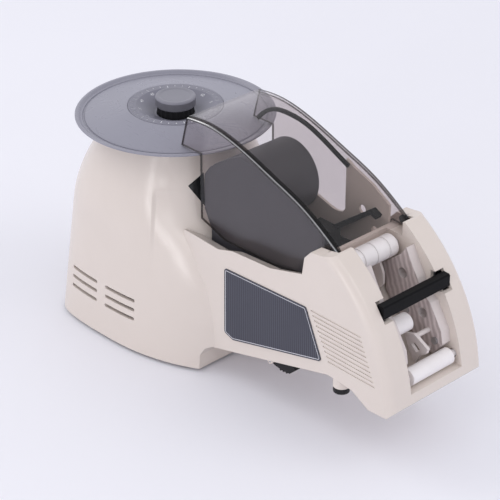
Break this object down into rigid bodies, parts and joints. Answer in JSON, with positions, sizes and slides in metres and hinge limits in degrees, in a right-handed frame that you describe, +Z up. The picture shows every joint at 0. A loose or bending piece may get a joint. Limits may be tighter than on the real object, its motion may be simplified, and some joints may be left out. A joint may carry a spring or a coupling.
{
  "type": "electric tape dispenser",
  "caption": "Electric tape dispenser: a cream bell-shaped body with a grey turntable on top, a long nose with feed rollers and a cutter bar in its open mouth, and a smoked hinged cover.",
  "frame": {"origin": "centre of the footprint of the whole machine, on the floor its rubber feet stand on", "axes": "+X points forward to the mouth along the longest side, +Z up, +Y to the machine's left"},
  "size_m": [0.3364, 0.15, 0.1905],
  "materials": {
    "cream_shell": "textured",
    "cream_inner": "satin",
    "dark_moulding": "matte",
    "black_moulding": "satin",
    "rocker_black": "gloss",
    "screw_steel": "satin",
    "bright_steel": "polished",
    "plate_steel": "zinc plated",
    "black_steel": "satin",
    "foot_rubber": "matte",
    "nylon": "satin",
    "gear_nylon": "satin",
    "gear_brass": "machined",
    "grey_disc": "satin",
    "grey_dial": "satin",
    "grey_knob": "satin",
    "smoke": "smoked clear",
    "drum_grey": "satin",
    "white_roller": "satin",
    "motor_can": "satin",
    "bar_black": "semi gloss",
    "board": "satin",
    "transformer_iron": "lacquered",
    "plate_blue": "satin"
  },
  "bodies": {
    "chassis": {"main_housing": "cream_shell", "base_plate": "dark_moulding", "base_screws": "screw_steel", "rubber_feet": "foot_rubber", "bottom_cover": "cream_shell", "bottom_screws": "screw_steel", "latch_pin": "bright_steel", "thrust_washer": "nylon", "near_side_plate": "black_steel", "drum_shaft": "bright_steel", "far_guide_wall": "cream_shell", "tray": "black_moulding", "guide_block": "black_moulding", "guide_bar": "black_steel", "wire_guide": "black_steel", "far_cheek": "cream_inner", "near_cheek": "cream_inner", "cheek_screws": "screw_steel", "near_frame": "plate_steel", "far_frame": "plate_steel", "idler_stud": "bright_steel", "feed_motor": "motor_can", "slot_plate": "cream_inner", "stripper_plate": "cream_inner", "solenoid": "motor_can", "bar_guides": "nylon", "circuit_board": "board", "transformer": "transformer_iron", "power_inlet": "black_moulding", "switch_housing": "black_moulding", "nameplate": "plate_blue"},
    "turntable": {"turntable": "grey_disc", "dial_ring": "grey_dial", "spindle": "bright_steel"},
    "clamp_knob": {"clamp_knob": "grey_knob", "knob_collar": "black_moulding"},
    "cover": {"cover": "smoke", "cover_pins": "black_moulding"},
    "tape_drum": {"tape_drum": "drum_grey"},
    "top_roller": {"top_roller": "white_roller"},
    "exit_roller": {"exit_roller": "white_roller"},
    "feed_roller": {"feed_roller": "white_roller", "feed_gear": "gear_nylon"},
    "idler_gear": {"idler_gear": "gear_brass"},
    "motor_pinion": {"motor_pinion": "gear_brass"},
    "cutter": {"cutter_bar": "bar_black", "cutter_blade": "bright_steel", "cutter_plunger": "bright_steel"},
    "latch_lever": {"latch_lever": "black_moulding"},
    "thumb_screw": {"thumb_screw": "black_moulding"},
    "switch_rocker": {"switch_rocker": "rocker_black"}
  },
  "joints": [
    {"name": "turntable_spin", "type": "hinge", "parent": "chassis", "child": "turntable", "pos_m": [-0.09475, 0, 0.161], "axis": [0, 0, 1], "continuous": true},
    {"name": "knob_turn", "type": "hinge", "parent": "turntable", "child": "clamp_knob", "pos_m": [-0.09475, 0, 0.17], "axis": [0, 0, 1], "range_deg": [0, 360]},
    {"name": "cover_lift", "type": "hinge", "parent": "chassis", "child": "cover", "pos_m": [0.10125, 0, 0.1395], "axis": [0, 1, 0], "range_deg": [0, 75]},
    {"name": "drum_spin", "type": "hinge", "parent": "chassis", "child": "tape_drum", "pos_m": [-0.00275, 0, 0.138], "axis": [0, 1, 0], "continuous": true},
    {"name": "top_roller_spin", "type": "hinge", "parent": "chassis", "child": "top_roller", "pos_m": [0.10225, 0, 0.1255], "axis": [0, 1, 0], "continuous": true},
    {"name": "exit_roller_spin", "type": "hinge", "parent": "chassis", "child": "exit_roller", "pos_m": [0.15875, 0, 0.0626], "axis": [0, 1, 0], "continuous": true},
    {"name": "idler_spin", "type": "hinge", "parent": "chassis", "child": "idler_gear", "pos_m": [0.10917, 0, 0.08314], "axis": [0, 1, 0], "continuous": true},
    {"name": "feed_roller_spin", "type": "hinge", "parent": "chassis", "child": "feed_roller", "pos_m": [0.13675, 0, 0.088], "axis": [0, 1, 0], "continuous": true},
    {"name": "pinion_spin", "type": "hinge", "parent": "chassis", "child": "motor_pinion", "pos_m": [0.0857, 0, 0.07815], "axis": [0, 1, 0], "continuous": true},
    {"name": "cutter_slide", "type": "slide", "parent": "chassis", "child": "cutter", "axis": [1, 0, 0], "range_m": [-0.004, 0], "stiffness_N_per_m": 120},
    {"name": "latch_swing", "type": "hinge", "parent": "chassis", "child": "latch_lever", "pos_m": [0.04825, -0.034, 0.0326], "axis": [0, 1, 0], "range_deg": [0, 40]},
    {"name": "thumb_screw_turn", "type": "hinge", "parent": "chassis", "child": "thumb_screw", "pos_m": [0.11775, -0.04, 0.045], "axis": [0, 0, 1], "range_deg": [0, 360]},
    {"name": "rocker_tip", "type": "hinge", "parent": "chassis", "child": "switch_rocker", "pos_m": [-0.16175, 0.0225, 0.027], "axis": [0, 1, 0], "range_deg": [-18, 0]}
  ],
  "couplings": [
    {"joint": "feed_roller_spin", "follows": "idler_spin", "ratio": -1.8},
    {"joint": "pinion_spin", "follows": "idler_spin", "ratio": -3}
  ]
}
